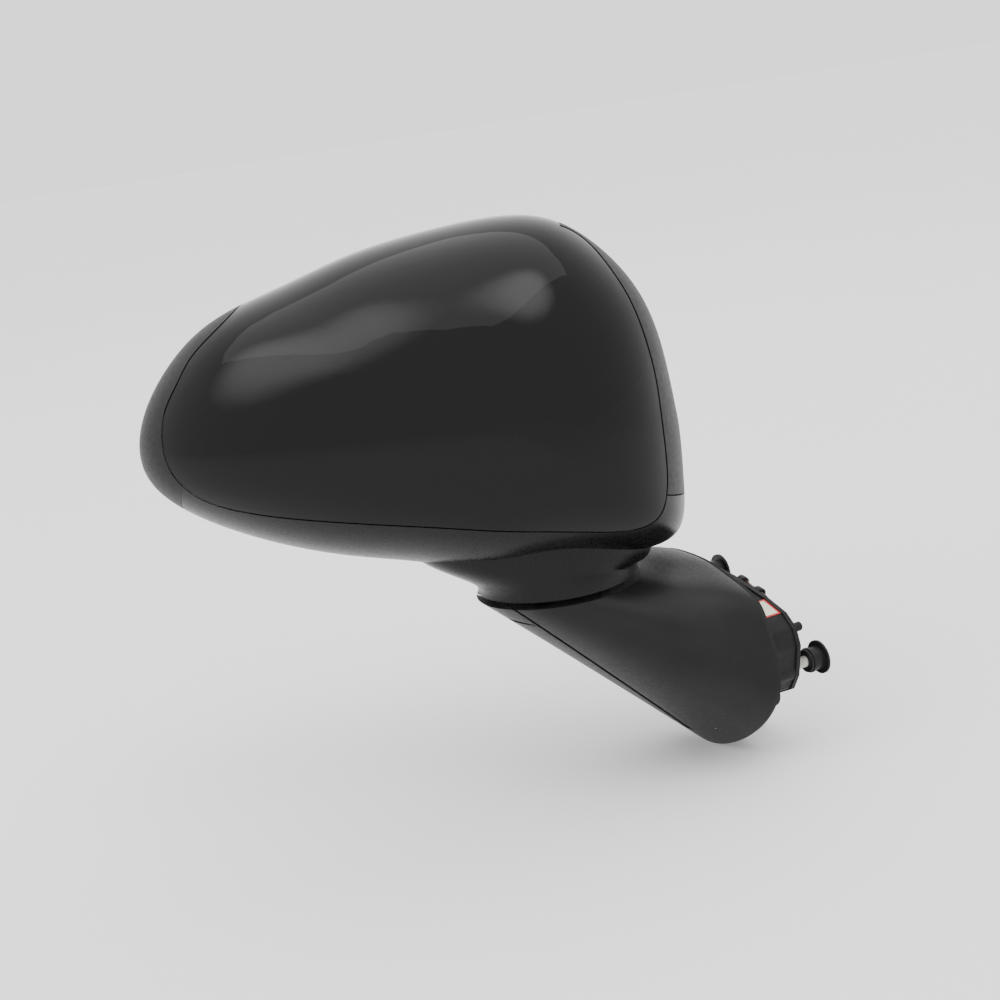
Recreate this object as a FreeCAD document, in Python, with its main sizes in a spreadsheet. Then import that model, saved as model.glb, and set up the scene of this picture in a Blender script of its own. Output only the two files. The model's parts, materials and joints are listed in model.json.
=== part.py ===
"""Car door mirror for the right-hand door: manual fold, electric glass adjustment.

Frame, in millimetres: the origin is the middle of the foot's mounting face, which lies in x = 0.
+X points into the door, +Y to the rear of the car (the side that the glass faces), +Z up.
The head is drawn in its own tilted frame, HEAD, whose origin is on the fold axis in the plane where
the neck meets the arm: +X towards the car, +Y to the rear, +Z up through the neck.
"""
import FreeCAD, Part
import Sketcher
import math
import os

Vector = FreeCAD.Vector
Placement = FreeCAD.Placement
Rotation = FreeCAD.Rotation
X_AXIS = Vector(1, 0, 0)
Y_AXIS = Vector(0, 1, 0)
Z_AXIS = Vector(0, 0, 1)

doc = FreeCAD.newDocument("DoorMirror")

# ---------------------------------------------------------------- driving dimensions
DIMENSIONS = {
    # fold axis and the head's lean on it
    "fold_x": -66, "fold_y": 20, "fold_z": 47.5,
    "head_yaw": -25, "head_pitch": -5, "head_lean": 9,
    # mouldings
    "wall": 2.6, "panel_gap": 0.5, "apex_x": -22, "apex_z": 70,
    "crown_start_y": 6, "crown_depth": 68, "crown_power": 2.3,
    "cap_back_y": 30, "seam_y": 14, "seam_inboard_z": 38.8, "seam_slope": 0.22,
    "neck_radius": 34.5, "arm_radius": 35.5, "arm_top_z": 45,
    # glass and its plate
    "glass_inset": 16, "glass_inset_low": 8, "glass_inset_tip": 10, "opening_margin": 4.5,
    "glass_x": -58, "glass_y": 30, "glass_z": 76, "glass_curve": 1400,
    "glass_thick": 2, "heater_thick": 0.6, "carrier_thick": 2.6, "carrier_rim": 1.2,
    # adjuster
    "gimbal_y": 16, "screw_reach": 24, "ring_outer": 12, "ring_inner": 8.5, "ring_thick": 5,
    "trunnion_radius": 1.5, "bore_play": 0.07, "box_length": 76, "box_height": 76,
    "box_floor_y": -14, "box_split_y": -0.5, "box_top_y": 9, "box_wall": 2, "box_corner": 9,
    "flange_thick": 2.5, "flange_border": 7, "motor_radius": 7.5, "motor_axis_y": -3.5,
    "wheel_teeth": 20, "wheel_module": 1, "worm_radius": 3, "worm_offset": 14.1,
    "plunger_radius": 2.9, "plunger_ball": 3.6, "plunger_socket": 4.4,
    # head frame
    "frame_front_y": -7, "frame_thick": 4, "frame_ring_out": 7, "frame_ring_in": 15,
    "post_radius": 3.2, "ear_border": 0.8,
    # fold bearing
    "pivot_radius": 9, "pivot_bore": 6, "pivot_bottom_z": 36, "pivot_top_z": 75.2,
    "pivot_flange_radius": 12, "pivot_flange_thick": 2.5, "pivot_play": 0.06,
    "bush_radius": 10.5, "boss_radius": 14, "boss_bottom_z": 50, "boss_top_z": 62,
    "detent_outer": 20, "detent_inner": 9.3, "detent_low_z": 42.5, "detent_low_top": 45.2,
    "detent_high_z": 46.6, "detent_bump": 1, "detent_circle": 15.5, "detent_bump_radius": 3,
    "washer_radius": 13, "washer_z": 62.3, "washer_thick": 1, "spring_wire": 1.3,
    "spring_radius": 11, "spring_pitch": 3.1, "spring_turns": 2, "retainer_thick": 2, "retainer_radius": 11.6,
    # bracket and its door side
    "strut_radius": 24, "strut_wall": 3.5, "bracket_back_x": -2, "bracket_face_x": 15,
    "bracket_floor": 4, "bracket_plate": 4, "bracket_wall": 3.2, "cable_hole": 9,
    "stud_radius": 2.5, "stud_pilot": 2, "stud_root": 4, "stud_root_x": 3, "stud_step_x": 22.4,
    "stud_end_x": 28.6, "stud_boss": 5.8, "peg_radius": 2, "peg_length": 5,
    "gasket_inset": 0.5, "gasket_width": 4, "cap_sleeve": 5, "cap_disc": 7.4, "cap_bore_play": 0.25,
    "cap_length": 7.2, "cap_disc_thick": 1,
    # fasteners and wiring
    "screw_shank": 1.5, "screw_head": 3.2, "screw_head_thick": 2,
    "lead_radius": 1.6, "label_thick": 0.3,
}

sheet = doc.addObject("Spreadsheet::Sheet", "D")
for row, (alias, value) in enumerate(DIMENSIONS.items(), start=1):
    sheet.set(f"A{row}", alias)
    sheet.set(f"B{row}", str(value))
    sheet.setAlias(f"B{row}", alias)
doc.recompute()


def dim(alias):
    """A driving dimension, read from the sheet."""
    return float(sheet.get(alias))


FOLD = Vector(dim("fold_x"), dim("fold_y"), dim("fold_z"))
HEAD_TURN = (
    Rotation(Z_AXIS, dim("head_yaw"))
    * Rotation(X_AXIS, dim("head_pitch"))
    * Rotation(Y_AXIS, dim("head_lean"))
)
HEAD = Placement(FOLD, HEAD_TURN)
APEX = Vector(dim("apex_x"), 0, dim("apex_z"))
GIMBAL = Vector(dim("glass_x"), dim("gimbal_y"), dim("glass_z"))
WALL = dim("wall")

NODES = []


# ---------------------------------------------------------------- building blocks
def node(label, thing):
    """Names a finished sub-part and puts it on the export list."""
    thing.Label = label
    NODES.append(thing)
    return thing


def at(x, y, z, axis=Z_AXIS):
    """A place in the part's frame, with the local Z along axis."""
    return Placement(Vector(x, y, z), Rotation(Z_AXIS, axis))


def on_fold(z):
    """A place on the fold axis."""
    return at(FOLD.x, FOLD.y, z)


def cylinder(radius, height, placement, name="Round"):
    """A Part::Cylinder whose sizes are sheet expressions."""
    solid = doc.addObject("Part::Cylinder", name)
    solid.setExpression("Radius", radius)
    solid.setExpression("Height", height)
    solid.Placement = placement
    return solid


def cone(radius_1, radius_2, height, placement, name="Taper"):
    """A Part::Cone whose sizes are sheet expressions."""
    solid = doc.addObject("Part::Cone", name)
    solid.setExpression("Radius1", radius_1)
    solid.setExpression("Radius2", radius_2)
    solid.setExpression("Height", height)
    solid.Placement = placement
    return solid


def fuse(*things):
    """The union of several objects."""
    union = doc.addObject("Part::MultiFuse", "Union")
    union.Shapes = list(things)
    return union


def cut(base, *tools):
    """The base less every tool."""
    result = doc.addObject("Part::Cut", "Cut")
    result.Base = base
    result.Tool = tools[0] if len(tools) == 1 else fuse(*tools)
    return result


def common(base, tool):
    """What two objects share."""
    result = doc.addObject("Part::Common", "Common")
    result.Base = base
    result.Tool = tool
    return result


def group(*things):
    """Separate solids in one object, for fasteners of one kind."""
    compound = doc.addObject("Part::Compound", "Group")
    compound.Links = list(things)
    return compound


def feature(shape, name="Form", placement=None):
    """A Part::Feature that holds a shape built with Part's own functions."""
    holder = doc.addObject("Part::Feature", name)
    holder.Shape = shape
    if placement is not None:
        holder.Placement = placement * shape.Placement
    return holder


def ring_body(label, outer, inner, height, placement):
    """A PartDesign body: a pad of two concentric circles bound to the sheet."""
    body = doc.addObject("PartDesign::Body", label + "_body")
    plane = next(item for item in body.Origin.OriginFeatures if item.Role == "XY_Plane")
    sketch = body.newObject("Sketcher::SketchObject", label + "_sketch")
    sketch.AttachmentSupport = (plane, [""])
    sketch.MapMode = "FlatFace"
    for index, radius in enumerate((outer, inner)):
        sketch.addGeometry(Part.Circle(Vector(), Z_AXIS, 10 - index), False)
        sketch.addConstraint(Sketcher.Constraint("Coincident", index, 3, -1, 1))
        number = sketch.addConstraint(Sketcher.Constraint("Radius", index, 10 - index))
        sketch.setExpression(f"Constraints[{number}]", radius)
    pad = body.newObject("PartDesign::Pad", label + "_pad")
    pad.Profile = sketch
    pad.setExpression("Length", height)
    body.Placement = placement
    return body


# ---------------------------------------------------------------- smooth closed forms
def closed_poles(points):
    """Poles, knots and multiplicities of the closed cubic curve through evenly timed points."""
    curve = Part.BSplineCurve()
    times = [float(index) for index in range(len(points) + 1)]
    curve.interpolate(Points=points, PeriodicFlag=True, Parameters=times)
    return curve.getPoles(), curve.getKnots(), curve.getMultiplicities()


def skin_face(rows, knots, mults, cross_knots, cross_mults, cross_degree):
    """The face of a surface that is closed one way; rows are poles round it."""
    poles = [[row[index] for row in rows] for index in range(len(rows[0]))]
    surface = Part.BSplineSurface()
    surface.buildFromPolesMultsKnots(
        poles, mults, cross_mults, knots, cross_knots, True, False, 3, cross_degree
    )
    return surface.toShape()


def closed_solid(face):
    """Closes a skin with flat faces over its free ends and makes it a solid."""
    ends = []
    for edge in face.Edges:
        if edge.isClosed() and not edge.isSeam(face) and not edge.Degenerated:
            ends.append(Part.Face(Part.Wire([edge])))
    shell = Part.Shell([face] + ends)
    shell.sewShape()
    return Part.Solid(shell)


def lofted(sections, lean_in, lean_out):
    """A solid from one closed section to another; its sides leave each by a control row."""
    starts, knots, mults = closed_poles(sections[0])
    stops, _, _ = closed_poles(sections[1])
    rows = [starts]
    for share, lean in ((1 / 3, lean_in), (2 / 3, lean_out)):
        row = []
        for index, (start, stop) in enumerate(zip(starts, stops)):
            turn = 2 * math.pi * index / len(starts)
            row.append(start + (stop - start) * share + lean(turn))
        rows.append(row)
    rows.append(stops)
    return closed_solid(skin_face(rows, knots, mults, [0.0, 1.0], [4, 4], 3))


def prism(points, y_from, y_to, smooth=True):
    """A prism along Y over an outline of (x, z) points, smooth or straight-sided."""
    corners = [Vector(x, y_from, z) for x, z in points]
    if smooth:
        curve = Part.BSplineCurve()
        curve.interpolate(Points=corners, PeriodicFlag=True)
        wire = Part.Wire([curve.toShape()])
    else:
        wire = Part.makePolygon(corners + corners[:1])
    return Part.Face(wire).extrude(Vector(0, y_to - y_from, 0))


# ---------------------------------------------------------------- the head's outer form
# Silhouette of the head seen along its Y, from the inboard side round by the top.
HEAD_OUTLINE = [
    (50.1, 70.0), (44.5, 94.2), (31.8, 123.8), (6.1, 147.2), (-22.0, 153.1),
    (-57.6, 146.3), (-88.5, 136.5), (-115.6, 124.0), (-144.2, 109.7), (-164.1, 90.0),
    (-175.9, 64.6), (-169.7, 38.6), (-134.0, 20.1), (-92.4, 10.9), (-58.0, 7.6),
    (-27.8, 4.0), (0.5, 8.1), (27.1, 11.5), (50.0, 19.6), (53.3, 42.6),
]
# How the silhouette draws in at the rim on the glass side: (share of its size, y).
RIM_PROFILE = [(0.955, 38.0), (0.978, 36.2), (0.99, 32.0), (1.0, 22.0)]
CROWN_STEPS = 8


def from_apex(x, z):
    """Direction and distance of an outline point from the crown's middle."""
    arm = Vector(x, 0, z) - APEX
    return arm, arm.Length


def inset_outline(inset):
    """The silhouette moved inwards; inset is a length or a function of the bearing."""
    points = []
    for x, z in HEAD_OUTLINE:
        arm, length = from_apex(x, z)
        bearing = math.atan2(arm.z, arm.x)
        amount = inset(bearing) if callable(inset) else inset
        point = APEX + arm * ((length - amount) / length)
        points.append((point.x, point.z))
    return points


def crown_profile(wall):
    """(share of the silhouette, y) from the rim to the crown's apex, drawn in by a wall."""
    rim = [(share, y - wall) for share, y in RIM_PROFILE]
    crown = []
    power = 2 / dim("crown_power")
    depth = dim("crown_depth") - wall
    for step in range(CROWN_STEPS + 1):
        turn = math.radians(90 * step / CROWN_STEPS)
        share = max(math.cos(turn), 0) ** power
        crown.append((share, dim("crown_start_y") - depth * math.sin(turn) ** power))
    return rim + crown


def head_form(wall):
    """The closed form of the head, or of its hollow when wall is above zero."""
    outline = [Vector(x, 0, z) for x, z in inset_outline(wall * 1.06)]
    poles, knots, mults = closed_poles(outline)
    reach = 90.0
    profile = Part.BSplineCurve()
    profile.interpolate(
        Points=[Vector(share * reach, y, 0) for share, y in crown_profile(wall)],
        InitialTangent=Vector(0.4, -1, 0),
        FinalTangent=Vector(-1, 0, 0),
        Scale=False,
    )
    rows = []
    for pole in profile.getPoles():
        share = pole.x / reach
        rows.append([APEX + (point - APEX) * share + Y_AXIS * pole.y for point in poles])
    face = skin_face(rows, knots, mults, profile.getKnots(), profile.getMultiplicities(), 3)
    return closed_solid(face)


def glass_inset(bearing):
    """How far inside the silhouette the glass ends: more along the foot and at the outboard tip."""
    low = dim("glass_inset_low") * max(0, -math.sin(bearing))
    tip = dim("glass_inset_tip") * max(0, -math.cos(bearing)) ** 4
    return dim("glass_inset") + low + tip


def opening_inset(bearing):
    """How far inside the silhouette the housing's opening is."""
    return glass_inset(bearing) - dim("opening_margin")


# Edge of the painted cap as (x, z): from the top, down the outboard side, along the foot and up.
CAP_EDGE = [
    (-131.5, 116.5), (-140.3, 105.6), (-151.4, 92.8), (-156.0, 83.5), (-160.3, 74.2),
    (-161.6, 64.0), (-160.2, 54.5), (-155.5, 46.0), (-145.0, 38.4), (-128.9, 34.2),
    (-98.6, 31.6), (-62.1, 30.0), (-25.8, 28.2), (14.6, 26.8), (32.0, 28.2), (38.4, 32.0),
    (41.3, 39.0), (41.6, 52.1), (39.3, 70.8), (36.5, 89.0), (32.4, 103.5), (26.2, 119.0),
    (17.4, 133.0), (8.0, 143.4), (-0.8, 147.9),
]
ABOVE_HEAD = 178


def cap_edge(grow, y):
    """The cap's edge as a curve at y, moved outwards by a gap."""
    corners = [Vector(x, y, z) for x, z in CAP_EDGE]
    edge = Part.BSplineCurve()
    edge.interpolate(Points=corners)
    if not grow:
        return edge
    moved = []
    for corner in corners:
        way = edge.tangent(edge.parameter(corner))[0]
        moved.append(corner + Vector(way.z, 0, -way.x) * grow)
    beside = Part.BSplineCurve()
    beside.interpolate(Points=moved)
    return beside


def cap_region(grow):
    """The column through the head that the cap takes, grown all round by a gap."""
    front = -dim("crown_depth") - 10
    edge = cap_edge(grow, front)
    start, stop = edge.StartPoint, edge.EndPoint
    over = [stop, Vector(stop.x, front, ABOVE_HEAD), Vector(start.x, front, ABOVE_HEAD), start]
    sides = [Part.makeLine(here, there) for here, there in zip(over, over[1:])]
    wire = Part.Wire([edge.toShape()] + sides)
    return Part.Face(wire).extrude(Vector(0, dim("cap_back_y") + grow - front, 0))


def lower_region(shrink):
    """The space of the lower cover: under the side seams and in front of the rear one."""
    size = 400
    slope = math.degrees(math.atan(dim("seam_slope")))
    region = Part.makeBox(size, size, size)
    region.translate(Vector(-size / 2, dim("seam_y") - shrink - size, -size - shrink))
    region.rotate(Vector(), Y_AXIS, slope)
    region.translate(Vector(50, 0, dim("seam_inboard_z")))
    return region


def column_turn():
    """Turns the fold axis, upright in the part's frame, into the head's frame."""
    return Placement(Vector(), HEAD_TURN.inverted()).toMatrix()


def neck_form(inset, drop):
    """The neck's closed form, from its round rim into the head; drop carries a hollow past the rim."""
    upright = FOLD_WAY
    up = Vector(0, 0, 1)
    rim = dim("neck_radius") - inset
    steps = [
        (upright * -drop, upright, rim, rim),
        (upright * 2.5, upright, rim, rim),
        (Vector(-6, -0.5, 6.5), (upright + up).normalize(), rim + 6.5, rim + 0.3),
        (Vector(-12, -1, 12), up, rim + 16.5, rim + 0.7),
        (Vector(-13, -1.5, 24), up, rim + 18, rim + 1),
    ]
    rings = []
    for centre, normal, half_length, half_width in steps:
        ring = Part.Ellipse(Vector(), half_length, half_width - 0.001).toShape()
        ring.Placement = Placement(centre, Rotation(Z_AXIS, normal))
        rings.append(Part.Wire([ring]))
    return Part.makeLoft(rings, True, False)


def head_shells():
    """The cap, the lower cover and the glass-side housing, cut from one shell."""
    gap = dim("panel_gap")
    hollow = head_form(WALL)
    passage = neck_form(WALL, 5)
    shell = head_form(0).cut(hollow).cut(passage)
    cap = shell.common(cap_region(0))
    rest = shell.cut(cap_region(gap))
    neck = neck_form(0, 0).cut(hollow).cut(passage)
    front = lower_region(gap)
    neck_behind = neck.cut(front).cut(head_form(-gap))
    cover = rest.common(front).fuse(neck.common(front)).fuse(neck_behind)
    housing = rest.cut(lower_region(0))
    return cap, cover, housing


FOLD_WAY = HEAD_TURN.inverted().multVec(Z_AXIS)
cap_shell, cover_shell, housing_shell = head_shells()


def largest(shape):
    """The biggest solid of a shape, without the slivers that a cut may leave."""
    return max(shape.Solids, key=lambda solid: solid.Volume)


def housing_with_opening():
    """The rear housing with the glass opening, the lip round it and its four screw posts."""
    outer = prism(inset_outline(lambda bearing: opening_inset(bearing) - 2), 25, 36.5)
    inner = prism(inset_outline(opening_inset), 20, 45)
    housing = largest(housing_shell).fuse(outer.cut(inner)).cut(inner)
    post_start = dim("frame_front_y") + dim("frame_thick")
    for x, z in POST_PLACES:
        post = Part.makeCylinder(dim("post_radius"), 36 - post_start, Vector(x, post_start, z), Y_AXIS)
        housing = housing.fuse(post)
    return housing.cut(housing_screws_shape())


# Screw posts: the silhouette point that each stands by, and how far inside it. The two outboard
# ones are further in, because the skin runs aslant to the way in there.
POSTS = {2: 8.4, 8: 10.0, 12: 11.6, 18: 8.4}


def post_place(index, inset):
    """A screw post's place, inside its silhouette point."""
    arm, length = from_apex(*HEAD_OUTLINE[index])
    point = APEX + arm * ((length - inset) / length)
    return point.x, point.z


POST_PLACES = [post_place(index, inset) for index, inset in POSTS.items()]


def screw_shape(place, reach):
    """A pan-head screw: its head's underside is at the place, its shank runs along local -Z."""
    shank = Part.makeCylinder(dim("screw_shank"), reach, Vector(0, 0, -reach), Z_AXIS)
    head = Part.makeCylinder(dim("screw_head"), dim("screw_head_thick"))
    head = head.makeFillet(0.8, [head.Edges[0]])
    slot = Part.makeBox(0.7, 4, 2)
    slot.translate(Vector(-0.35, -2, dim("screw_head_thick") - 0.9))
    cross = Part.makeBox(4, 0.7, 2)
    cross.translate(Vector(-2, -0.35, dim("screw_head_thick") - 0.9))
    screw = shank.fuse(head).cut(slot).cut(cross).removeSplitter()
    screw.Placement = place
    return screw


def housing_screws_shape():
    """Four screws that come through the head frame into the housing's posts."""
    front = dim("frame_front_y")
    return Part.makeCompound([screw_shape(at(x, front, z, -Y_AXIS), 12) for x, z in POST_PLACES])


node("painted_cap", feature(largest(cap_shell), "CapShell", HEAD))
node("lower_cover", feature(largest(cover_shell), "CoverShell", HEAD))
node("rear_housing", feature(housing_with_opening(), "HousingShell", HEAD))
node("housing_screws", feature(housing_screws_shape(), "HousingScrews", HEAD))


# ---------------------------------------------------------------- the foot: arm covers and bracket
# Edge of the foot cover at the door as (y, z), from the rear round by the top to the front.
FLANGE_OUTLINE = [
    (58.0, 4.0), (55.0, 24.0), (46.0, 37.0), (31.6, 42.1), (7.4, 41.6), (-8.8, 38.1),
    (-24.8, 33.1), (-34.2, 26.1), (-38.9, 13.9), (-41.6, 2.0), (-39.2, -10.0), (-31.5, -21.5),
    (-18.7, -32.9), (-1.6, -42.4), (15.3, -47.7), (31.0, -47.6), (46.0, -40.0), (55.5, -20.0),
]
FLANGE_MIDDLE = (8, -2)
FLANGE_X = dim("bracket_back_x")
# Door side of the bracket as (y, z), the same way round.
BRACKET_OUTLINE = [
    (50.5, 0), (50, 16), (42, 29.5), (27, 31), (8, 28.4), (-14.5, 23.2), (-28.0, 18.6), (-33.6, 13.5),
    (-35.4, 6), (-31.8, -8), (-27, -15), (-12, -21.5), (4, -36), (14, -41), (27, -40), (44, -28),
]


def flange_section(inset, x):
    """The flange's outline at x, moved inwards."""
    points = []
    for y, z in FLANGE_OUTLINE:
        arm = Vector(0, y - FLANGE_MIDDLE[0], z - FLANGE_MIDDLE[1])
        arm *= (arm.Length - inset) / arm.Length
        points.append(Vector(x, arm.y + FLANGE_MIDDLE[0], arm.z + FLANGE_MIDDLE[1]))
    return points


def arm_section(radius, middle_x, z):
    """The round top of the arm, its points paired with the flange's."""
    points = []
    for y, height in FLANGE_OUTLINE:
        bearing = math.atan2(height - FLANGE_MIDDLE[1], y - FLANGE_MIDDLE[0])
        across = radius * math.sin(bearing)
        points.append(Vector(middle_x + across, FOLD.y + radius * math.cos(bearing), z))
    return points


def no_lean(turn):
    """A side that runs straight."""
    return Vector()


def arm_skin(start, stop):
    """The arm's closed form, or its hollow, from its round top to its edge at the door."""

    def lean_at_top(turn):
        return Vector(0, 3.5 * math.cos(turn), 0)

    def lean_at_flange(turn):
        return Vector(0, 3 * math.cos(turn), 4 * max(0, math.sin(turn)))

    return lofted([start, stop], lean_at_top, lean_at_flange)


def polygon_prism(outline, x_from, x_to, inset=0.0, corner=3.0):
    """A prism along X over a (y, z) outline, its corners rounded."""
    wire = Part.makePolygon([Vector(x_from, y, z) for y, z in outline + outline[:1]])
    if inset:
        wire = wire.makeOffset2D(-inset)
    solid = Part.Face(wire).extrude(Vector(x_to - x_from, 0, 0))
    along = [edge for edge in solid.Edges if abs(edge.tangentAt(edge.FirstParameter).x) > 0.99]
    return solid.makeFillet(corner, along)


# Fasteners of the foot: two from the door side. The under-cover snaps into the cover.
FOOT_SCREW_PLACES = [(20, 33), (-2.5, -31.2)]
EAR_RADIUS = 4.3
UNDER_SLOPE = Vector(-0.68, 0, -0.733)
TOP_HOLE_RADIUS = 26.5


def foot_screws_shape():
    """The two screws that hold the foot's cover on the bracket."""
    return Part.makeCompound([screw_shape(at(2, y, z, X_AXIS), 14) for y, z in FOOT_SCREW_PLACES])


foot_screws = foot_screws_shape()


def under_region(shrink):
    """The space under the arm that the under-cover takes: a wedge along the arm's lower side."""
    size = 160
    region = Part.makeBox(size, size, size, Vector(-size / 2, -size / 2, -size))
    start = Vector(-97.2, FOLD.y, 46) + UNDER_SLOPE * shrink
    stop = Vector(-41, FOLD.y, -9.4) + UNDER_SLOPE * shrink
    run = (stop - start).normalize()
    angle = math.degrees(math.atan2(-run.z, run.x))
    region.rotate(Vector(), Y_AXIS, angle)
    region.translate((start + stop) * 0.5)
    return region


def foot_cover_shapes():
    """The arm's cover and its under-cover."""
    top_z = dim("arm_top_z")
    outer = arm_skin(arm_section(dim("arm_radius"), FOLD.x, top_z), flange_section(0, FLANGE_X))
    hollow = arm_skin(
        arm_section(dim("arm_radius") - 4.6, FOLD.x + 2, top_z - WALL),
        flange_section(WALL + 0.8, FLANGE_X + 0.5),
    )
    top_hole = Part.makeCylinder(TOP_HOLE_RADIUS, 20, Vector(FOLD.x, FOLD.y, top_z - 10))
    shell = outer.cut(hollow).cut(top_hole)
    gap = dim("panel_gap")
    cover = largest(shell.cut(under_region(0)))
    for y, z in FOOT_SCREW_PLACES:
        boss = Part.makeCylinder(3.8, 13, Vector(FLANGE_X - 13, y, z), X_AXIS)
        away = 10 if z > 0 else -10
        rib = Part.makeBox(13, 2.4, 10, Vector(FLANGE_X - 13, y - 1.2, z if away > 0 else z + away))
        cover = cover.fuse(boss.fuse(rib).common(outer))
    under = largest(shell.common(under_region(gap)))
    return largest(cover.cut(foot_screws)), under


foot_cover_shell, under_cover_shell = foot_cover_shapes()
node("foot_cover", feature(foot_cover_shell, "FootCover"))
node("foot_undercover", feature(under_cover_shell, "UnderCover"))
node("foot_screws", feature(foot_screws, "FootScrews"))

STUDS = {"front": (-27, -5.5), "rear": (42.5, 21.5), "low": (14, -31.5)}
PEG = (-30.2, 12.2)
LEAD_WAY = 5


def strut_section(half_length, half_width, middle_x, z):
    """The strut's round top under the fold bearing."""
    return [
        Vector(middle_x + half_length * math.sin(turn), FOLD.y + half_width * math.cos(turn), z)
        for turn in (2 * math.pi * index / 12 for index in range(12))
    ]


def strut_foot(radius, x):
    """The strut's oval foot on the bracket's back."""
    return [
        Vector(x, 9 + radius * math.cos(turn), -3 + 0.9 * radius * math.sin(turn))
        for turn in (2 * math.pi * index / 12 for index in range(12))
    ]


def bracket_shape():
    """The cast bracket: a hollow strut under the fold bearing and a closed box at the door."""
    back = dim("bracket_back_x")
    face = dim("bracket_face_x")
    floor = dim("bracket_floor")
    bearing_z = dim("detent_low_z")
    wall = dim("strut_wall")
    radius = dim("strut_radius")
    strut = lofted(
        [strut_section(radius, radius, FOLD.x, bearing_z), strut_foot(radius, back + 1)], no_lean, no_lean
    )
    hollow_top = strut_section(radius - 1.5 * wall, radius - wall, FOLD.x + 8, bearing_z - 5.5)
    inner = lofted([hollow_top, strut_foot(radius - wall, back + floor + 1)], no_lean, no_lean)
    box = polygon_prism(BRACKET_OUTLINE, back, face)
    cavity = polygon_prism(
        BRACKET_OUTLINE, back + floor, face - dim("bracket_plate"), dim("bracket_wall"), 1.5
    )
    ears = [
        Part.makeCylinder(EAR_RADIUS, floor, Vector(back, y, z), X_AXIS) for y, z in FOOT_SCREW_PLACES
    ]
    bosses = [
        Part.makeCylinder(dim("stud_boss"), face - back, Vector(back, y, z), X_AXIS)
        for y, z in STUDS.values()
    ]
    middle = Part.makeBox(face - back - 4, 3, 80, Vector(back + 2, 22, -45))
    shelf = Part.makeBox(face - back - 4, 92, 3, Vector(back + 2, -37, -6.5))
    ribs = middle.fuse(shelf).common(box)
    step = polygon_prism(BRACKET_OUTLINE, face - 2, face, -0.7)
    peg = Part.makeCylinder(dim("peg_radius"), dim("peg_length") + 4, Vector(face - 4, *PEG), X_AXIS)
    peg = peg.makeChamfer(0.5, [peg.Edges[0]])
    shape = box.cut(cavity).multiFuse(bosses + ears + [ribs, step, peg])
    shape = shape.fuse(strut).cut(inner)
    bore = Part.makeCylinder(dim("pivot_radius"), 14, Vector(FOLD.x, FOLD.y, bearing_z - 9))
    seat = Part.makeCylinder(
        dim("pivot_flange_radius"), 3.4, Vector(FOLD.x, FOLD.y, dim("pivot_bottom_z") - 3.4 + 1)
    )
    lead_way = Part.makeCylinder(LEAD_WAY, 6, Vector(FOLD.x, FOLD.y, dim("pivot_bottom_z") - 7))
    outlet = Part.makeCylinder(dim("cable_hole"), 6, Vector(face - 5, *CABLE_AT), X_AXIS)
    return shape.cut([bore, seat, lead_way]).cut(outlet)


CABLE_AT = (6, 8)
bracket = feature(bracket_shape(), "BracketCasting")


def stud(y, z):
    """A stud: knurled root in its boss, M5 shank, narrower pilot for the transit cap."""
    root_at = at(dim("stud_root_x"), y, z, X_AXIS)
    shank_at = at(dim("bracket_face_x"), y, z, X_AXIS)
    pilot_at = at(dim("stud_step_x"), y, z, X_AXIS)
    root = cylinder("D.stud_root", "D.bracket_face_x - D.stud_root_x", root_at)
    shank = cylinder("D.stud_radius", "D.stud_step_x - D.bracket_face_x", shank_at)
    pilot = cylinder("D.stud_pilot", "D.stud_end_x - D.stud_step_x", pilot_at)
    return fuse(root, shank, pilot)


studs = {name: stud(*place) for name, place in STUDS.items()}
door_studs = node("door_studs", group(*studs.values()))
screw_cores = feature(foot_screws, "ScrewCores")
node("foot_bracket", cut(bracket, door_studs, screw_cores))


def gasket_shape():
    """The rubber ring between the foot cover's edge and the door skin."""
    ring = dim("gasket_inset")
    width = dim("gasket_width")
    outer = closed_wire(flange_section(ring, FLANGE_X))
    inner = closed_wire(flange_section(ring + width, FLANGE_X))
    depth = Vector(-FLANGE_X, 0, 0)
    return Part.Face(outer).extrude(depth).cut(Part.Face(inner).extrude(depth))


def closed_wire(points):
    """A smooth closed wire through the points."""
    curve = Part.BSplineCurve()
    times = [float(index) for index in range(len(points) + 1)]
    curve.interpolate(Points=points, PeriodicFlag=True, Parameters=times)
    return Part.Wire([curve.toShape()])


node("door_gasket", feature(gasket_shape(), "Gasket"))

# Transit caps: a sleeve with a dished disc at its end, pushed over each stud's pilot.
for name, (y, z) in STUDS.items():
    start = dim("stud_step_x") + 0.2
    sleeve = cylinder("D.cap_sleeve", "D.cap_length", at(start, y, z, X_AXIS))
    neck = cylinder("D.cap_sleeve + 0.5", "1.2", at(start + 1.2, y, z, X_AXIS))
    disc = cylinder("D.cap_disc", "D.cap_disc_thick", at(start + dim("cap_length") - 0.4, y, z, X_AXIS))
    dish = cone("2.6", "6.4", "0.5", at(start + dim("cap_length") + 0.1, y, z, X_AXIS))
    bore = cylinder(
        "D.stud_pilot + D.cap_bore_play", "D.stud_end_x - D.stud_step_x + 0.2", at(start - 0.1, y, z, X_AXIS)
    )
    node(f"stud_cap_{name}", cut(fuse(sleeve, neck, disc), dish, bore))

# ---------------------------------------------------------------- fold bearing
pivot_tube = ring_body(
    "pivot_tube", "D.pivot_radius", "D.pivot_bore", "D.pivot_top_z - D.pivot_bottom_z",
    on_fold(dim("pivot_bottom_z")),
)
pivot_foot = ring_body(
    "pivot_foot", "D.pivot_flange_radius", "D.pivot_bore", "D.pivot_flange_thick",
    on_fold(dim("pivot_bottom_z") - dim("pivot_flange_thick") + 1),
)
node("pivot_post", fuse(pivot_tube, pivot_foot))


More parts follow.
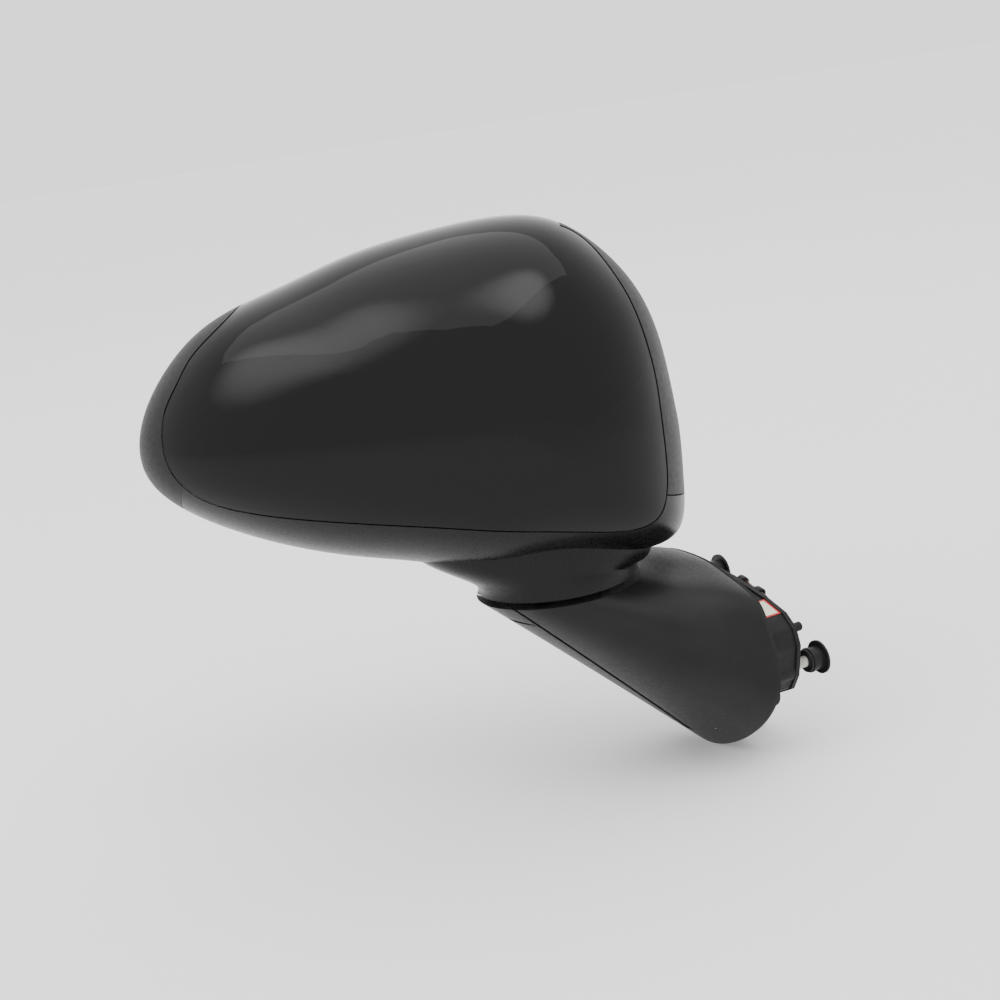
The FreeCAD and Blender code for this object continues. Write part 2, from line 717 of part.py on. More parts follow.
def on_detent_circle(turn, z):
    """A place on the circle of detent bumps."""
    radius = dim("detent_circle")
    return at(FOLD.x + radius * math.cos(turn), FOLD.y + radius * math.sin(turn), z)


DETENT_TURNS = [math.radians(90 + 120 * index) for index in range(3)]
low_ring = ring_body(
    "detent_low", "D.detent_outer", "D.detent_inner", "D.detent_low_top - D.detent_low_z",
    on_fold(dim("detent_low_z")),
)
bumps = [
    cone("D.detent_bump_radius", "D.detent_bump_radius - 1", "D.detent_bump",
         on_detent_circle(turn, dim("detent_low_top")))
    for turn in DETENT_TURNS
]
node("detent_ring_lower", fuse(low_ring, *bumps))
high_ring = ring_body(
    "detent_high", "D.detent_outer", "D.detent_inner + 0.1", "D.boss_bottom_z - D.detent_high_z",
    on_fold(dim("detent_high_z")),
)
dents = [
    cone("D.detent_bump_radius + 0.6", "D.detent_bump_radius - 0.4", "D.detent_bump + 0.2",
         on_detent_circle(turn, dim("detent_high_z") - 0.01))
    for turn in DETENT_TURNS
]
node("detent_ring_upper", cut(high_ring, *dents))
node("pivot_bush", ring_body(
    "bush", "D.bush_radius", "D.pivot_radius + D.pivot_play", "D.boss_top_z - D.boss_bottom_z",
    on_fold(dim("boss_bottom_z")),
))
node("pivot_washer", ring_body(
    "washer", "D.washer_radius", "D.pivot_radius + 0.1", "D.washer_thick", on_fold(dim("washer_z")),
))
spring_z = dim("washer_z") + dim("washer_thick") + dim("spring_wire")
spring_rise = dim("spring_pitch") * dim("spring_turns")
retainer_z = spring_z + spring_rise + dim("spring_wire") + 0.05
node("spring_retainer", ring_body(
    "retainer", "D.retainer_radius", "D.pivot_radius", "D.retainer_thick", on_fold(retainer_z),
))


def spring_shape():
    """The fold spring: a short coil round the post, between the washer and the retainer."""
    radius = dim("spring_radius")
    path = Part.makeHelix(dim("spring_pitch"), spring_rise, radius)
    start = Vector(radius, 0, 0)
    ring = Part.Wire([Part.makeCircle(dim("spring_wire"), start, Vector(0, 1, 0))])
    coil = Part.Wire(path).makePipeShell([ring], True, True)
    coil.Placement = on_fold(spring_z)
    return coil


node("pivot_spring", feature(spring_shape(), "FoldSpring"))

# ---------------------------------------------------------------- head frame
PLATE_Y = dim("frame_front_y")
PLATE_BACK = PLATE_Y + dim("frame_thick")
BOX_HALF_X = dim("box_length") / 2
BOX_HALF_Z = dim("box_height") / 2
BORDER = dim("flange_border")
SPOKES = [
    ((-100, 88), (-172, 70)), ((-58, 116), (-58, 150)), ((-18, 92), (45, 92)),
    ((-64, 38), (-64, 8)), ((-42, 38), (-26, 12)), ((-17, 56), (40, 29)),
]
SPOKE_WIDTH = 9


def rounded_plate(half_x, half_z, y_from, y_to, corner):
    """A plate with rounded corners about the glass pivot's middle, in the head's frame."""
    plate = Part.makeBox(
        2 * half_x, y_to - y_from, 2 * half_z, Vector(GIMBAL.x - half_x, y_from, GIMBAL.z - half_z)
    )
    along = [edge for edge in plate.Edges if abs(edge.tangentAt(edge.FirstParameter).y) > 0.99]
    return plate.makeFillet(corner, along)


def spoke(start, stop):
    """A flat bar of the frame with a stiffening rib on its front."""
    run = Vector(stop[0] - start[0], 0, stop[1] - start[1])
    bar = Part.makeBox(run.Length, dim("frame_thick"), SPOKE_WIDTH, Vector(0, 0, -SPOKE_WIDTH / 2))
    rib = Part.makeBox(run.Length, 5, 2, Vector(0, -5, -1))
    bar = bar.fuse(rib)
    bar.Placement = Placement(
        Vector(start[0], PLATE_Y, start[1]), Rotation(X_AXIS, run)
    )
    return bar


def head_frame_shape():
    """The head's inner frame: a rim ring, a window for the adjuster, spokes and the fold boss."""
    rim = prism(inset_outline(dim("frame_ring_out")), PLATE_Y, PLATE_BACK)
    rim = rim.cut(prism(inset_outline(dim("frame_ring_in")), PLATE_Y - 1, PLATE_BACK + 1))
    inside = prism(inset_outline(dim("frame_ring_out")), PLATE_Y - 6, PLATE_BACK)
    window = rounded_plate(BOX_HALF_X + BORDER, BOX_HALF_Z + BORDER, PLATE_Y, PLATE_BACK, 10)
    bars = [spoke(*ends) for ends in SPOKES]
    ears = [
        Part.makeCylinder(
            dim("post_radius") + dim("ear_border"), dim("frame_thick"), Vector(x, PLATE_Y, z), Y_AXIS
        )
        for x, z in POST_PLACES
    ]
    frame = rim.multiFuse([window] + bars).common(inside).multiFuse(ears)
    boss = Part.makeCylinder(
        dim("boss_radius"), dim("boss_top_z") - dim("boss_bottom_z"),
        Vector(0, 0, dim("boss_bottom_z") - FOLD.z),
    )
    foot = Part.makeCylinder(
        dim("detent_outer"), 3, Vector(0, 0, dim("boss_bottom_z") - FOLD.z)
    )
    boss = boss.fuse(foot)
    boss.transformShape(column_turn())
    web = Part.makeBox(66, 4, 18, Vector(-34, PLATE_Y, 5.5))
    frame = frame.fuse(boss.fuse(web.common(inside)))
    stack = Part.makeCylinder(dim("boss_radius") + 0.6, 30, Vector(0, 0, dim("boss_top_z") - FOLD.z))
    stack.transformShape(column_turn())
    frame = frame.cut(stack)
    opening = rounded_plate(BOX_HALF_X + 0.6, BOX_HALF_Z + 0.6, PLATE_Y - 20, PLATE_BACK + 5, 9.6)
    bush_bore = Part.makeCylinder(dim("bush_radius"), 60, Vector(0, 0, -20))
    bush_bore.transformShape(column_turn())
    frame = frame.cut(opening).cut(bush_bore).cut(housing_screws_shape()).cut(adjuster_screws_shape())
    return largest(frame)


def adjuster_screws_shape():
    """Four screws that hold the adjuster's flange on the frame's window."""
    seat = PLATE_BACK + dim("flange_thick")
    off_x = BOX_HALF_X + BORDER / 2
    off_z = BOX_HALF_Z + BORDER / 2
    screws = []
    for side_x, side_z in ((-1, -1), (-1, 1), (1, 1), (1, -1)):
        x = GIMBAL.x + side_x * (off_x - 5)
        z = GIMBAL.z + side_z * off_z
        screws.append(screw_shape(at(x, seat, z, Y_AXIS), dim("frame_thick") + dim("flange_thick") - 1))
    return Part.makeCompound(screws)


node("head_frame", feature(head_frame_shape(), "HeadFrame", HEAD))
node("adjuster_screws", feature(adjuster_screws_shape(), "AdjusterScrews", HEAD))

# ---------------------------------------------------------------- glass adjuster
TILT_AT = (GIMBAL.x, GIMBAL.z + dim("screw_reach"))
PAN_AT = (GIMBAL.x + dim("screw_reach"), GIMBAL.z)
WHEEL_Y = (-6.0, -1.2)
WHEEL_OUTER = dim("wheel_module") * (dim("wheel_teeth") / 2 + 0.9)
MOTOR_Y = dim("motor_axis_y")
TILT_MOTOR = {
    "start": Vector(TILT_AT[0] - dim("worm_offset"), MOTOR_Y, 70.5), "axis": Z_AXIS, "length": 18.5,
}
PAN_MOTOR = {
    "start": Vector(-66, MOTOR_Y, PAN_AT[1] - dim("worm_offset")), "axis": X_AXIS, "length": 21,
}


def adjuster_base_shape():
    """The adjuster's tray: flange on the frame, walls, floor and the wheels' lower bosses."""
    floor_y = dim("box_floor_y")
    split_y = dim("box_split_y")
    wall = dim("box_wall")
    flange = rounded_plate(BOX_HALF_X + BORDER, BOX_HALF_Z + BORDER, PLATE_BACK, split_y, 10)
    tub = rounded_plate(BOX_HALF_X, BOX_HALF_Z, floor_y, split_y, dim("box_corner"))
    hollow = rounded_plate(
        BOX_HALF_X - wall, BOX_HALF_Z - wall, floor_y + wall, split_y + 1, dim("box_corner") - wall
    )
    shape = flange.fuse(tub).cut(hollow)
    for x, z in (TILT_AT, PAN_AT):
        boss = Part.makeCylinder(5.2, WHEEL_Y[0] - 0.3 - floor_y - 1, Vector(x, floor_y + 1, z), Y_AXIS)
        socket = Part.makeCylinder(3.3, 20, Vector(x, floor_y + wall, z), Y_AXIS)
        shape = shape.fuse(boss).cut(socket)
    return shape.cut(adjuster_screws_shape())


def adjuster_cover_shape():
    """The adjuster's lid, with the plungers' outlets and the fork that holds the swivel ring."""
    split_y = dim("box_split_y")
    top_y = dim("box_top_y")
    wall = dim("box_wall")
    lid = rounded_plate(BOX_HALF_X, BOX_HALF_Z, split_y, top_y, dim("box_corner"))
    hollow = rounded_plate(
        BOX_HALF_X - wall, BOX_HALF_Z - wall, split_y - 1, top_y - wall, dim("box_corner") - wall
    )
    shape = lid.cut(hollow)
    for x, z in (TILT_AT, PAN_AT):
        boss = Part.makeCylinder(5.2, top_y - WHEEL_Y[1] - 0.3, Vector(x, WHEEL_Y[1] + 0.3, z), Y_AXIS)
        outlet = Part.makeCylinder(3.3, 20, Vector(x, WHEEL_Y[1], z), Y_AXIS)
        shape = shape.fuse(boss).cut(outlet)
    for side in (-1, 1):
        shape = shape.fuse(ear_shape(Vector(0, 0, side), top_y - 1, 0))
    return shape


def ear_shape(way, root_y, tip_y):
    """One ear that carries a trunnion of the swivel ring; way is its side of the ring."""
    inner = dim("ring_outer") + 0.6
    thick = 3.4
    centre = GIMBAL + way * inner
    ear = Part.makeCylinder(3.6, thick, centre, way)
    across = X_AXIS if abs(way.z) else Z_AXIS
    low = min(root_y, GIMBAL.y)
    high = max(root_y, GIMBAL.y)
    corner = centre - across * 3.6
    corner.y = low
    web = Part.makeBox(
        abs(way.x) * thick + abs(across.x) * 7.2,
        high - low,
        abs(way.z) * thick + abs(across.z) * 7.2,
        Vector(
            min(corner.x, corner.x + way.x * thick),
            low,
            min(corner.z, corner.z + way.z * thick),
        ),
    )
    bore = Part.makeCylinder(dim("trunnion_radius") + dim("bore_play"), 12, GIMBAL + way * (inner - 3), way)
    return ear.fuse(web).cut(bore)


def swivel_ring_shape():
    """The ring with four trunnions: it turns in the lid's fork and the glass plate turns on it."""
    thick = dim("ring_thick")
    base = GIMBAL - Y_AXIS * (thick / 2)
    ring = Part.makeCylinder(dim("ring_outer"), thick, base, Y_AXIS)
    ring = ring.cut(Part.makeCylinder(dim("ring_inner"), thick, base, Y_AXIS))
    for way in (X_AXIS, -X_AXIS, Z_AXIS, -Z_AXIS):
        root = GIMBAL + way * (dim("ring_inner") + 1)
        pin_length = dim("ring_outer") - dim("ring_inner") + 2.6
        pin = Part.makeCylinder(dim("trunnion_radius"), pin_length, root, way)
        ring = ring.fuse(pin)
    return ring


def plunger_shape(x, z):
    """A threaded plunger that pushes the glass plate by its ball."""
    radius = dim("plunger_radius")
    rod = Part.makeCylinder(radius, GIMBAL.y - 3 + 8, Vector(x, -8, z), Y_AXIS)
    neck = Part.makeCylinder(2.2, 4, Vector(x, GIMBAL.y - 4, z), Y_AXIS)
    tip = Part.makeSphere(dim("plunger_ball"), Vector(x, GIMBAL.y, z))
    return rod.multiFuse([neck, tip])


def wheel_shape(x, z, turn):
    """A worm wheel round its plunger, with as many teeth as the sheet says."""
    teeth = int(dim("wheel_teeth"))
    root = WHEEL_OUTER - 1.7
    points = []
    for tooth in range(teeth):
        for share, radius in ((-0.28, root), (-0.14, WHEEL_OUTER), (0.14, WHEEL_OUTER), (0.28, root)):
            angle = 2 * math.pi * (tooth + turn + share) / teeth
            points.append(Vector(x + radius * math.cos(angle), WHEEL_Y[0], z + radius * math.sin(angle)))
    rim = Part.Face(Part.makePolygon(points + points[:1])).extrude(Vector(0, WHEEL_Y[1] - WHEEL_Y[0], 0))
    bore = Part.makeCylinder(dim("plunger_radius") + 0.25, 20, Vector(x, WHEEL_Y[0] - 5, z), Y_AXIS)
    return rim.cut(bore)


def worm_shape(motor):
    """A worm on its motor's shaft, its thread drawn as rings of the thread's section."""
    start = 1.2
    length = 17.6
    pitch = math.pi * dim("wheel_module")
    outer = dim("worm_radius")
    root = outer - 0.9
    profile = [Vector(0, 0, 0), Vector(root, 0, 0)]
    for ridge in range(int(length / pitch)):
        low = ridge * pitch
        for share, radius in ((0.2, root), (0.4, outer), (0.6, outer), (0.8, root)):
            profile.append(Vector(radius, 0, low + share * pitch))
    profile += [Vector(root, 0, length), Vector(0, 0, length)]
    face = Part.Face(Part.makePolygon(profile + profile[:1]))
    worm = face.revolve(Vector(), Z_AXIS, 360)
    bore = Part.makeCylinder(0.8, 6)
    worm = worm.cut(bore)
    worm.Placement = Placement(
        motor["start"] + motor["axis"] * (motor["length"] + start), Rotation(Z_AXIS, motor["axis"])
    )
    return worm


def motor_shape(motor):
    """A small can motor with its end boss and shaft."""
    can = Part.makeCylinder(dim("motor_radius"), motor["length"])
    can = can.makeFillet(0.8, [can.Edges[0], can.Edges[2]])
    boss = Part.makeCylinder(2.4, motor["length"] + 0.9)
    shaft = Part.makeCylinder(0.72, motor["length"] + 6)
    shape = can.fuse(boss).fuse(shaft)
    shape.Placement = Placement(motor["start"], Rotation(Z_AXIS, motor["axis"]))
    return shape


node("adjuster_base", feature(adjuster_base_shape(), "AdjusterBase", HEAD))
node("adjuster_cover", feature(adjuster_cover_shape(), "AdjusterCover", HEAD))
node("swivel_ring", feature(swivel_ring_shape(), "SwivelRing", HEAD))
for name, place, motor in (("tilt", TILT_AT, TILT_MOTOR), ("pan", PAN_AT, PAN_MOTOR)):
    node(f"{name}_plunger", feature(plunger_shape(*place), name + "Plunger", HEAD))
    node(f"{name}_wheel", feature(wheel_shape(*place, 0.0), name + "Wheel", HEAD))
    node(f"{name}_worm", feature(worm_shape(motor), name + "Worm", HEAD))
    node(f"{name}_motor", feature(motor_shape(motor), name + "Motor", HEAD))

# ---------------------------------------------------------------- mirror glass, heater and plate
CURVE_CENTRE = Vector(GIMBAL.x, dim("glass_y") - dim("glass_curve"), GIMBAL.z)


def curved_layer(extra, drop, thick):
    """A layer of the glass pack: its outline grown by extra, its face drop below the glass's."""
    column = prism(inset_outline(lambda bearing: glass_inset(bearing) - extra), 10, 32)
    outer = Part.makeSphere(dim("glass_curve") - drop, CURVE_CENTRE)
    layer = column.common(outer)
    return layer.cut(Part.makeSphere(dim("glass_curve") - drop - thick, CURVE_CENTRE))


def carrier_shape():
    """The plate behind the glass: a rim round it, ears for the swivel ring, plunger sockets."""
    drop = dim("glass_thick") + dim("heater_thick")
    thick = dim("carrier_thick")
    plate = curved_layer(dim("carrier_rim"), drop, thick)
    rim = curved_layer(dim("carrier_rim"), 0.4, drop - 0.4 + 0.5)
    rim = rim.cut(prism(inset_outline(lambda bearing: glass_inset(bearing) - 0.05), 0, 40))
    plate = plate.fuse(rim)
    under_y = dim("glass_y") - drop - 0.8
    for side in (-1, 1):
        plate = plate.fuse(ear_shape(Vector(side, 0, 0), under_y, 0))
    for x, z in (TILT_AT, PAN_AT):
        plate = plate.fuse(socket_shape(x, z, under_y))
    return plate


def socket_shape(x, z, under_y):
    """A round socket that a plunger's ball pushes in."""
    start = GIMBAL.y - 2.5
    outer = Part.makeCylinder(5.8, under_y - start, Vector(x, start, z), Y_AXIS)
    inner = Part.makeCylinder(dim("plunger_socket"), GIMBAL.y + 4.6 - start, Vector(x, start, z), Y_AXIS)
    return outer.cut(inner)


node("glass_carrier", feature(carrier_shape(), "GlassCarrier", HEAD))
node("heater_pad", feature(curved_layer(0, dim("glass_thick"), dim("heater_thick")), "HeaterPad", HEAD))
node("mirror_glass", feature(curved_layer(0, 0, dim("glass_thick")), "MirrorGlass", HEAD))

# ---------------------------------------------------------------- wiring
LEAD = dim("lead_radius")


def tube(points, radius):
    """A round lead along straight runs that large arcs join."""
    edges = []
    here = points[0]
    for index in range(1, len(points) - 1):
        before, corner, after = points[index - 1], points[index], points[index + 1]
        run_in = corner - before
        run_out = after - corner
        half_turn = run_in.getAngle(run_out) / 2
        tangent = 0.45 * min(run_in.Length, run_out.Length)
        run_in.normalize()
        run_out.normalize()
        start = corner - run_in * tangent
        stop = corner + run_out * tangent
        away = (run_out - run_in).normalize()
        bend = tangent / math.tan(half_turn)
        middle = corner + away * (bend / math.cos(half_turn) - bend)
        edges.append(Part.makeLine(here, start))
        edges.append(Part.Arc(start, middle, stop).toShape())
        here = stop
    edges.append(Part.makeLine(here, points[-1]))
    path = Part.Wire(edges)
    way = (points[1] - points[0]).normalize()
    ring = Part.Wire([Part.makeCircle(radius, points[0], way)])
    return path.makePipeShell([ring], True, False)


# From the head, down through the hollow post and the strut, out at the bracket's door side,
# along its upper front rim and back to the plug.
PLUG_CORNER = Vector(15, 18, -13)
PLUG_SIZE = Vector(12, 22, 14)
PLUG_ENTRY = Vector(21, 18, -6)
LEAD_JOIN_Z = 79.0
LEAD_ROUTE = [
    Vector(FOLD.x, FOLD.y, LEAD_JOIN_Z), Vector(FOLD.x, FOLD.y, 56), Vector(FOLD.x + 0.5, FOLD.y - 0.2, 33),
    Vector(-54, 17, 24.5), Vector(-34, 12.5, 14), Vector(-14, 8, 8.5), Vector(4, 6, 8), Vector(23.5, 6, 8),
    Vector(24.5, 12.5, 18), Vector(17.4, 12.5, 27.2), Vector(17.4, 1, 24.6), Vector(17.4, -11, 21.4),
    Vector(18.6, -15, 11), Vector(19.5, -9, -2), Vector(21, 4, -6), PLUG_ENTRY,
]
node("harness_lead", feature(tube(LEAD_ROUTE, LEAD), "HarnessLead"))


def lead_clip_shape(y):
    """A moulded clip that holds the lead on the bracket's rim."""
    share = (LEAD_ROUTE[9].y - y) / (LEAD_ROUTE[9].y - LEAD_ROUTE[11].y)
    centre = LEAD_ROUTE[9] + (LEAD_ROUTE[11] - LEAD_ROUTE[9]) * share
    way = (LEAD_ROUTE[11] - LEAD_ROUTE[9]).normalize()
    loop = Part.makeCylinder(LEAD + 1.2, 3, centre - way * 1.5, way)
    stem = Part.makeBox(centre.x - 15, 3, 3.4, Vector(15, centre.y - 1.5, centre.z - 1.7))
    keep = Part.makeBox(10, 20, 20, Vector(15, centre.y - 10, centre.z - 10))
    return loop.fuse(stem).common(keep).cut(Part.makeCylinder(LEAD + 0.35, 12, centre - way * 6, way))


node("lead_clips", feature(
    Part.makeCompound([largest(lead_clip_shape(y)) for y in (6.5, -5.5)]), "LeadClips",
))


def grommet_shape():
    """The rubber grommet in the bracket's cable outlet."""
    face = dim("bracket_face_x")
    y, z = CABLE_AT
    plate = dim("bracket_plate")
    plug = Part.makeCylinder(dim("cable_hole"), plate, Vector(face - plate, y, z), X_AXIS)
    collar = Part.makeCylinder(dim("cable_hole") + 1.6, 1.2, Vector(face, y, z), X_AXIS)
    nose = Part.makeCone(4.4, 3, 1.6, Vector(face + 1.2, y, z), X_AXIS)
    bore = Part.makeCylinder(LEAD + 0.08, 14, Vector(face - 6, LEAD_ROUTE[7].y, LEAD_ROUTE[7].z), X_AXIS)
    return plug.multiFuse([collar, nose]).cut(bore)


def plug_shape():
    """The wiring plug, clipped on the bracket's door side."""
    body = Part.makeBox(*PLUG_SIZE, PLUG_CORNER)
    body = body.makeFillet(1.2, [edge for edge in body.Edges if edge.Length > PLUG_SIZE.x + 1])
    latch = Part.makeBox(2, 12, 5, PLUG_CORNER + Vector(PLUG_SIZE.x, 6, 4.5))
    ramp = Part.makeBox(3.2, 2, 5, PLUG_CORNER + Vector(PLUG_SIZE.x, 15, 4.5))
    groove = Part.makeBox(20, 1, 0.8, PLUG_CORNER + Vector(-2, 5, PLUG_SIZE.z - 0.8))
    return body.fuse(latch).fuse(ramp).cut(groove)


def label_shape():
    """A blank sticker on the bracket's upper front wall."""
    upper = Vector(0, *BRACKET_OUTLINE[5])
    lower = Vector(0, *BRACKET_OUTLINE[6])
    run = (lower - upper).normalize()
    out = Vector(0, run.z, -run.y)
    start = upper + run * 1.2
    sticker = Part.makeBox(12.4, 12, dim("label_thick"))
    turn = math.degrees(math.atan2(run.z, run.y))
    sticker.rotate(Vector(), X_AXIS, turn)
    if out.z < 0:
        out = -out
    middle = sticker.CenterOfMass
    wanted = start + run * 6 + out * (dim("label_thick") / 2) + X_AXIS * 6.8
    sticker.translate(wanted - middle)
    return sticker


node("cable_grommet", feature(grommet_shape(), "Grommet"))
node("wiring_plug", feature(plug_shape(), "WiringPlug"))
node("foot_label", feature(label_shape(), "Label"))

# In the head: from the post's end, in front of the frame, to the side of the adjuster.
HEAD_LEAD_ROUTE = [
    FOLD_WAY * (LEAD_JOIN_Z - FOLD.z), FOLD_WAY * (LEAD_JOIN_Z - FOLD.z + 5.5), Vector(-8, -8.8, 43),
    Vector(-12.5, -10.8, 46.5), Vector(GIMBAL.x + BOX_HALF_X, -10.8, 46.5),
]
node("head_lead", feature(tube(HEAD_LEAD_ROUTE, LEAD), "HeadLead", HEAD))

# ---------------------------------------------------------------- checks and export
doc.recompute()
for item in doc.Objects:
    if "Invalid" in item.State or "Error" in item.State:
        raise RuntimeError(f"{item.Name} failed: {item.State}")
os.makedirs("parts", exist_ok=True)
for item in NODES:
    shape = item.Shape
    if shape.isNull() or not shape.isValid() or not shape.Solids:
        raise RuntimeError(f"{item.Label} has no valid shape")
    shape.exportStep(f"parts/{item.Label}.step")
    print(item.Label, len(shape.Solids), "solid(s)", round(shape.Volume / 1000, 2), "cm3")
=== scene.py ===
"""Looks for the car door mirror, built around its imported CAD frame. Metres, in the row's own frame:
the origin is the middle of the foot's mounting face, +X into the door, +Y to the rear, +Z up."""
import json
import math

import bmesh
import bpy
from mathutils import Matrix, Vector


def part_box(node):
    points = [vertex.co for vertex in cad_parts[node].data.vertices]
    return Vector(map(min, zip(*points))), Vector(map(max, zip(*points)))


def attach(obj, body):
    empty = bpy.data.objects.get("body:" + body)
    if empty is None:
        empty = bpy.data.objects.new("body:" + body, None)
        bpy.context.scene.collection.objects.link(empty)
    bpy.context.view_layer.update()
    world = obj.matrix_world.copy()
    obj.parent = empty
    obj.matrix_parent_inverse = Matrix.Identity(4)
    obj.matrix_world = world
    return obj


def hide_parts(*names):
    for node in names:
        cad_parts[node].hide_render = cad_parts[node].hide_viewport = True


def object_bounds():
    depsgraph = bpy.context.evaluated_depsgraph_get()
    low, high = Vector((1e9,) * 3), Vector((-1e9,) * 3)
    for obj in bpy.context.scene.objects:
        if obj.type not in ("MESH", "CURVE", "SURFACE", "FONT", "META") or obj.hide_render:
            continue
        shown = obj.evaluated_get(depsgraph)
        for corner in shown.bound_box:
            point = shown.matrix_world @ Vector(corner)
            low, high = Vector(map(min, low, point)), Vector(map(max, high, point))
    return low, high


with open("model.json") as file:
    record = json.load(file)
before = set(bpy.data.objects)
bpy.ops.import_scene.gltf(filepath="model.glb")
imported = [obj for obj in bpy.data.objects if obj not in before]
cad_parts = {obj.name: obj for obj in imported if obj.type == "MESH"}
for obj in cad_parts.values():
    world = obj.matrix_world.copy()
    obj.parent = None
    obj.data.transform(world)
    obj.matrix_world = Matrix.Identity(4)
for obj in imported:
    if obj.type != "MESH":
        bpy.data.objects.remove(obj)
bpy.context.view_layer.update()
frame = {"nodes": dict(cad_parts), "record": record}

MM = 0.001


def place_object(name, data):
    """A new object of this data in the scene."""
    made = bpy.data.objects.new(name, data)
    bpy.context.scene.collection.objects.link(made)
    return made


# ---------------------------------------------------------------- materials
class Look:
    """A material under construction: its nodes, and short ways to add them."""

    def __init__(self, name):
        self.material = bpy.data.materials.new(name)
        self.material.use_nodes = True
        self.tree = self.material.node_tree
        self.surface = self.tree.nodes["Principled BSDF"]
        self.place = self.node("ShaderNodeTexCoord").outputs["Object"]

    def node(self, kind, **values):
        made = self.tree.nodes.new(kind)
        for key, value in values.items():
            setattr(made, key, value)
        return made

    def link(self, source, target):
        self.tree.links.new(source, target)

    def noise(self, size, detail=2.0, stretch=(1, 1, 1)):
        """Noise whose features are about this size in metres."""
        mapping = self.node("ShaderNodeMapping")
        mapping.inputs["Scale"].default_value = stretch
        self.link(self.place, mapping.inputs["Vector"])
        noise = self.node("ShaderNodeTexNoise")
        noise.inputs["Scale"].default_value = 1 / size
        noise.inputs["Detail"].default_value = detail
        self.link(mapping.outputs["Vector"], noise.inputs["Vector"])
        return noise.outputs["Fac"]

    def cells(self, size):
        """The cells of a leather-like grain, about this size in metres."""
        cells = self.node("ShaderNodeTexVoronoi", feature="SMOOTH_F1")
        cells.inputs["Scale"].default_value = 1 / size
        self.link(self.place, cells.inputs["Vector"])
        return cells.outputs["Distance"]

    def spread(self, source, low, high, start=0.3, stop=0.7):
        """A number between low and high as the source goes from start to stop."""
        spread = self.node("ShaderNodeMapRange")
        for key, value in (("From Min", start), ("From Max", stop), ("To Min", low), ("To Max", high)):
            spread.inputs[key].default_value = value
        self.link(source, spread.inputs["Value"])
        return spread.outputs["Result"]

    def blend(self, share, first, second):
        """A colour between two colours or sockets."""
        mix = self.node("ShaderNodeMix", data_type="RGBA")
        self.link(share, mix.inputs["Factor"])
        for key, colour in (("A", first), ("B", second)):
            socket = [one for one in mix.inputs if one.name == key and one.type == "RGBA"][0]
            if isinstance(colour, tuple):
                socket.default_value = (*colour, 1)
            else:
                self.link(colour, socket)
        return [one for one in mix.outputs if one.type == "RGBA"][0]

    def bump(self, height, distance, under=None, strength=1.0):
        """A bump of this height in metres, over another one."""
        bump = self.node("ShaderNodeBump")
        bump.inputs["Distance"].default_value = distance
        bump.inputs["Strength"].default_value = strength
        self.link(height, bump.inputs["Height"])
        if under:
            self.link(under, bump.inputs["Normal"])
        return bump.outputs["Normal"]

    def soft_edges(self, radius):
        """Normals that turn over the edges as if they had this radius."""
        bevel = self.node("ShaderNodeBevel", samples=4)
        bevel.inputs["Radius"].default_value = radius
        return bevel.outputs["Normal"]

    def set(self, **values):
        """Values on the shader's own sockets, with underscores for the spaces of their names."""
        for key, value in values.items():
            self.surface.inputs[key.replace("_", " ")].default_value = value

    def finish(self, colour, roughness, normal):
        """Links the three sockets that vary over the surface, and gives the material."""
        self.link(colour, self.surface.inputs["Base Color"])
        self.link(roughness, self.surface.inputs["Roughness"])
        if normal:
            self.link(normal, self.surface.inputs["Normal"])
        return self.material


def shade(colour, factor):
    """A colour made darker or lighter."""
    return tuple(part * factor for part in colour)


def moulded(name, colour, roughness, grain, depth, edge=0.0004, vary=0.25, sheen=0.17):
    """Moulded plastic or rubber: a fine leather-like grain and faint mottling."""
    look = Look(name)
    look.set(Specular_IOR_Level=sheen)
    mottle = look.noise(0.03, 3)
    fine = look.noise(grain * 3, 2)
    colour = look.blend(look.spread(mottle, 0, 1), shade(colour, 1 - vary), shade(colour, 1 + vary))
    rough = look.spread(fine, roughness - 0.05, roughness + 0.05)
    normal = look.bump(look.cells(grain), depth, look.soft_edges(edge))
    return look.finish(colour, rough, normal)


def lacquered(name, colour):
    """Black lacquer under a clear coat, with a faint orange peel."""
    look = Look(name)
    fleck = look.noise(0.0006, 1)
    colour = look.blend(look.spread(fleck, 0, 1), shade(colour, 0.85), shade(colour, 1.15))
    rough = look.spread(look.noise(0.02, 3), 0.2, 0.3)
    peel = look.bump(look.noise(0.0035, 1), 0.000004)
    look.set(Coat_Weight=1.0, Coat_Roughness=0.03, Coat_IOR=1.27, Specular_IOR_Level=0.0)
    return look.finish(colour, rough, peel)


def metal(name, colour, roughness, scratch=(1, 1, 1), edge=0.0002):
    """Plated or machined metal, with fine marks along one way and cloudy plating."""
    look = Look(name)
    marks = look.noise(0.0008, 3, scratch)
    cloud = look.noise(0.006, 3)
    colour = look.blend(look.spread(cloud, 0, 1), shade(colour, 0.78), colour)
    rough = look.spread(marks, roughness - 0.08, roughness + 0.1)
    look.set(Metallic=1.0)
    return look.finish(colour, rough, look.bump(marks, 0.00002, look.soft_edges(edge)))


def cast(name, colour):
    """A black-coated casting: a sand-like skin, coating rubbed thin in patches."""
    look = Look(name)
    skin = look.noise(0.0012, 4)
    patch = look.spread(look.noise(0.018, 4), 0, 1, 0.45, 0.75)
    colour = look.blend(patch, colour, shade(colour, 1.7))
    look.set(Metallic=0.2, Specular_IOR_Level=0.2)
    normal = look.bump(skin, 0.00012, look.soft_edges(0.0006))
    return look.finish(colour, look.spread(skin, 0.42, 0.62), normal)


